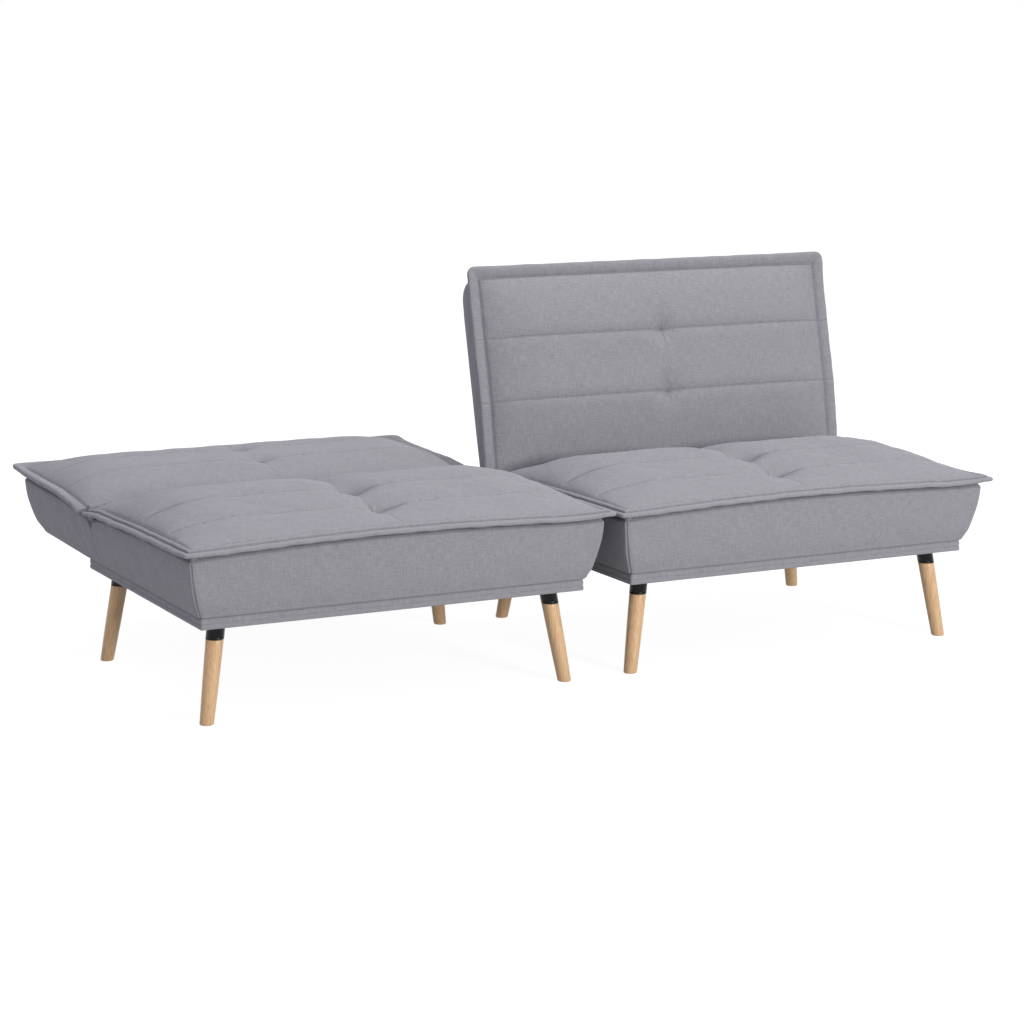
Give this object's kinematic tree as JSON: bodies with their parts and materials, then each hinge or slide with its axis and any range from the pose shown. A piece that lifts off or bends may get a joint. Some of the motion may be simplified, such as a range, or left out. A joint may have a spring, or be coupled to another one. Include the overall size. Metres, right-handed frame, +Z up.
{
  "type": "click clack sofa bed",
  "caption": "Armless click clack sofa bed in matching halves, each with a tufted seat, a back that folds flat on ratchet hinges, and splayed tapered wooden legs.",
  "frame": {"origin": "bottom centre of the bounding box, on the floor between the feet", "axes": "+X along the sofa from the left half to the right half, +Y from the front edge to the back, +Z up"},
  "size_m": [1.85, 1.072, 0.7878],
  "materials": {
    "grey_fabric": "heathered plain weave",
    "seat_foam": "cut polyurethane foam",
    "plywood": "sanded plywood",
    "pine": "planed pine",
    "ash_wood": "clear satin lacquer",
    "black_steel": "gloss black powder coat",
    "zinc_steel": "zinc plated",
    "black_lining": "spun-bonded lining"
  },
  "bodies": {
    "left_base": {"left_seat_quilt": "grey_fabric", "left_seat_border": "grey_fabric", "left_seat_foam": "seat_foam", "left_seat_deck": "plywood", "left_front_rail": "pine", "left_rear_rail": "pine", "left_base_skirt": "grey_fabric", "left_dust_cover": "black_lining", "left_side_rail_outer": "pine", "left_hinge_base_outer": "zinc_steel", "left_hinge_pin_outer": "zinc_steel", "left_front_leg_outer": "ash_wood", "left_front_leg_holder_outer": "black_steel", "left_rear_leg_outer": "ash_wood", "left_rear_leg_holder_outer": "black_steel", "left_side_rail_inner": "pine", "left_hinge_base_inner": "zinc_steel", "left_hinge_pin_inner": "zinc_steel", "left_front_leg_inner": "ash_wood", "left_front_leg_holder_inner": "black_steel", "left_rear_leg_inner": "ash_wood", "left_rear_leg_holder_inner": "black_steel"},
    "left_back": {"left_back_quilt": "grey_fabric", "left_back_shell": "grey_fabric", "left_back_foam": "seat_foam", "left_back_board": "plywood", "left_hinge_arm_outer": "zinc_steel", "left_hinge_arm_inner": "zinc_steel"},
    "left_pawl_outer": {"left_hinge_pawl_outer": "zinc_steel"},
    "left_pawl_inner": {"left_hinge_pawl_inner": "zinc_steel"},
    "right_base": {"right_seat_quilt": "grey_fabric", "right_seat_border": "grey_fabric", "right_seat_foam": "seat_foam", "right_seat_deck": "plywood", "right_front_rail": "pine", "right_rear_rail": "pine", "right_base_skirt": "grey_fabric", "right_dust_cover": "black_lining", "right_side_rail_outer": "pine", "right_hinge_base_outer": "zinc_steel", "right_hinge_pin_outer": "zinc_steel", "right_front_leg_outer": "ash_wood", "right_front_leg_holder_outer": "black_steel", "right_rear_leg_outer": "ash_wood", "right_rear_leg_holder_outer": "black_steel", "right_side_rail_inner": "pine", "right_hinge_base_inner": "zinc_steel", "right_hinge_pin_inner": "zinc_steel", "right_front_leg_inner": "ash_wood", "right_front_leg_holder_inner": "black_steel", "right_rear_leg_inner": "ash_wood", "right_rear_leg_holder_inner": "black_steel"},
    "right_back": {"right_back_quilt": "grey_fabric", "right_back_shell": "grey_fabric", "right_back_foam": "seat_foam", "right_back_board": "plywood", "right_hinge_arm_outer": "zinc_steel", "right_hinge_arm_inner": "zinc_steel"},
    "right_pawl_outer": {"right_hinge_pawl_outer": "zinc_steel"},
    "right_pawl_inner": {"right_hinge_pawl_inner": "zinc_steel"}
  },
  "joints": [
    {"name": "left_back_hinge", "type": "hinge", "parent": "left_base", "child": "left_back", "pos_m": [-0.465, 0.074, 0.333], "axis": [1, 0, 0], "range_deg": [0, 81.5]},
    {"name": "left_pawl_outer_hinge", "type": "hinge", "parent": "left_base", "child": "left_pawl_outer", "pos_m": [-0.8647, 0.04017, 0.28837], "axis": [-1, 0, 0], "range_deg": [-9, 10], "stiffness_Nm_per_rad": 0.02},
    {"name": "left_pawl_inner_hinge", "type": "hinge", "parent": "left_base", "child": "left_pawl_inner", "pos_m": [-0.0653, 0.04017, 0.28837], "axis": [-1, 0, 0], "range_deg": [-9, 10], "stiffness_Nm_per_rad": 0.02},
    {"name": "right_back_hinge", "type": "hinge", "parent": "right_base", "child": "right_back", "pos_m": [0.465, 0.074, 0.333], "axis": [1, 0, 0], "range_deg": [-75.5, 6]},
    {"name": "right_pawl_outer_hinge", "type": "hinge", "parent": "right_base", "child": "right_pawl_outer", "pos_m": [0.8647, 0.04017, 0.28837], "axis": [-1, 0, 0], "range_deg": [-9, 10], "stiffness_Nm_per_rad": 0.02},
    {"name": "right_pawl_inner_hinge", "type": "hinge", "parent": "right_base", "child": "right_pawl_inner", "pos_m": [0.0653, 0.04017, 0.28837], "axis": [-1, 0, 0], "range_deg": [-9, 10], "stiffness_Nm_per_rad": 0.02},
    {"name": "right_half_slide", "type": "slide", "parent": "left_base", "child": "right_base", "axis": [1, 0, 0], "range_m": [0, 0.3]}
  ]
}
